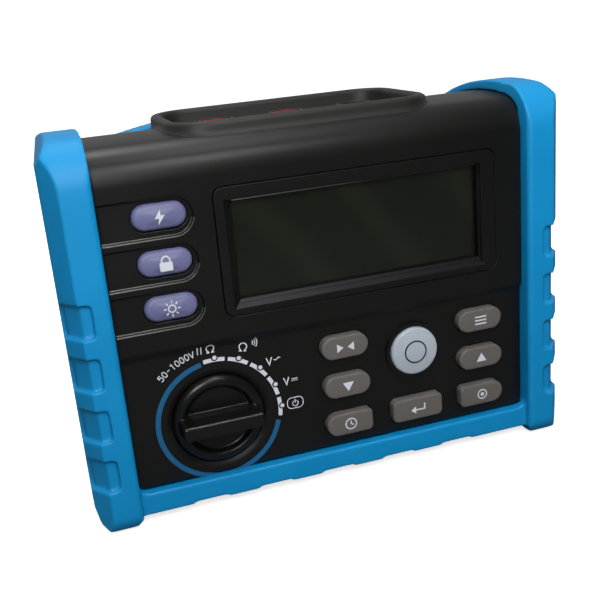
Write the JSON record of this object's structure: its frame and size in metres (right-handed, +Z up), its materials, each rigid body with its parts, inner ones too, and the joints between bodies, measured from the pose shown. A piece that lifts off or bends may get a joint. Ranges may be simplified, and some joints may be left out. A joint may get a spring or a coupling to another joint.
{
  "type": "insulation resistance tester",
  "caption": "Hand-held insulation resistance tester: black case in a blue boot with a display, keys, a rotary switch and a recessed tray of test sockets on top.",
  "frame": {"origin": "under the middle of the whole tester, at the height of the feet", "axes": "+Z up, -Y the way the panel faces, +X to the right of the panel as the user sees it"},
  "size_m": [0.204, 0.094, 0.152],
  "materials": {
    "case_black": "satin moulded ABS",
    "boot_blue": "satin thermoplastic elastomer",
    "window_clear": "smoked clear window",
    "lcd": "unlit liquid crystal panel",
    "seal_black": "matte",
    "key_purple": "satin moulded silicone",
    "key_grey": "satin moulded silicone",
    "key_silver": "satin moulded silicone",
    "natural_plastic": "as moulded",
    "socket_red": "gloss",
    "socket_black": "gloss",
    "brass": "bright",
    "steel": "zinc plated",
    "board_green": "solder resist",
    "core_iron": "laminated core",
    "copper_wire": "enamelled",
    "part_dark": "moulded epoxy",
    "part_blue": "sleeved",
    "part_tan": "painted",
    "lead_red": "silicone sleeve",
    "fuse_glass": "clear",
    "cell_jacket": "printed jacket without marks"
  },
  "bodies": {
    "root": {"front_case": "case_black", "rear_case": "case_black", "protective_boot": "boot_blue", "display_bezel": "case_black", "display_lens": "window_clear", "lens_gasket": "seal_black", "lcd_glass": "lcd", "elastomer_strips": "seal_black", "backlight_panel": "natural_plastic", "lcd_holder": "natural_plastic", "display_cable": "part_tan", "measure_collar": "case_black", "keypad_mat": "seal_black", "side_keypad_mat": "seal_black", "detent_ring": "natural_plastic", "terminal_block": "natural_plastic", "line_socket": "socket_red", "volt_socket": "socket_red", "earth_socket": "socket_black", "socket_contacts": "brass", "socket_leads": "lead_red", "main_board": "board_green", "board_screws": "steel", "transformer_core": "core_iron", "transformer_winding": "copper_wire", "capacitors": "part_blue", "resistors": "part_tan", "chips": "part_dark", "relays": "part_blue", "buzzer": "part_dark", "fuse": "fuse_glass", "fuse_clips": "brass", "battery_cells": "cell_jacket", "battery_contacts": "steel", "battery_leads": "part_dark", "case_screws": "steel", "threaded_inserts": "brass"},
    "voltage_key": {"voltage_key": "key_purple"},
    "hold_key": {"hold_key": "key_purple"},
    "backlight_key": {"backlight_key": "key_purple"},
    "memory_key": {"memory_key": "key_grey"},
    "read_key": {"read_key": "key_grey"},
    "select_key": {"select_key": "key_grey"},
    "enter_key": {"enter_key": "key_grey"},
    "compare_key": {"compare_key": "key_grey"},
    "relative_key": {"relative_key": "key_grey"},
    "timer_key": {"timer_key": "key_grey"},
    "measure_key": {"measure_key": "key_silver"},
    "dial": {"dial_knob": "case_black", "dial_rotor": "natural_plastic", "rotor_wipers": "brass"},
    "battery_door": {"battery_cover": "case_black", "battery_cover_screws": "steel"}
  },
  "joints": [
    {"name": "voltage_key_press", "type": "slide", "parent": "root", "child": "voltage_key", "axis": [0, 1, 0], "range_m": [0, 0.0011]},
    {"name": "hold_key_press", "type": "slide", "parent": "root", "child": "hold_key", "axis": [0, 1, 0], "range_m": [0, 0.0011]},
    {"name": "backlight_key_press", "type": "slide", "parent": "root", "child": "backlight_key", "axis": [0, 1, 0], "range_m": [0, 0.0011]},
    {"name": "memory_key_press", "type": "slide", "parent": "root", "child": "memory_key", "axis": [0, 1, 0], "range_m": [0, 0.0011]},
    {"name": "read_key_press", "type": "slide", "parent": "root", "child": "read_key", "axis": [0, 1, 0], "range_m": [0, 0.0011]},
    {"name": "select_key_press", "type": "slide", "parent": "root", "child": "select_key", "axis": [0, 1, 0], "range_m": [0, 0.0011]},
    {"name": "enter_key_press", "type": "slide", "parent": "root", "child": "enter_key", "axis": [0, 1, 0], "range_m": [0, 0.0011]},
    {"name": "compare_key_press", "type": "slide", "parent": "root", "child": "compare_key", "axis": [0, 1, 0], "range_m": [0, 0.0011]},
    {"name": "relative_key_press", "type": "slide", "parent": "root", "child": "relative_key", "axis": [0, 1, 0], "range_m": [0, 0.0011]},
    {"name": "timer_key_press", "type": "slide", "parent": "root", "child": "timer_key", "axis": [0, 1, 0], "range_m": [0, 0.0011]},
    {"name": "measure_key_press", "type": "slide", "parent": "root", "child": "measure_key", "axis": [0, 1, 0], "range_m": [0, 0.0011]},
    {"name": "dial_turn", "type": "hinge", "parent": "root", "child": "dial", "pos_m": [-0.0494, -0.035, 0.0371], "axis": [0, -1, 0], "range_deg": [0, 90]},
    {"name": "battery_cover_lift", "type": "slide", "parent": "root", "child": "battery_door", "axis": [0, 1, 0], "range_m": [0, 0.03]}
  ]
}
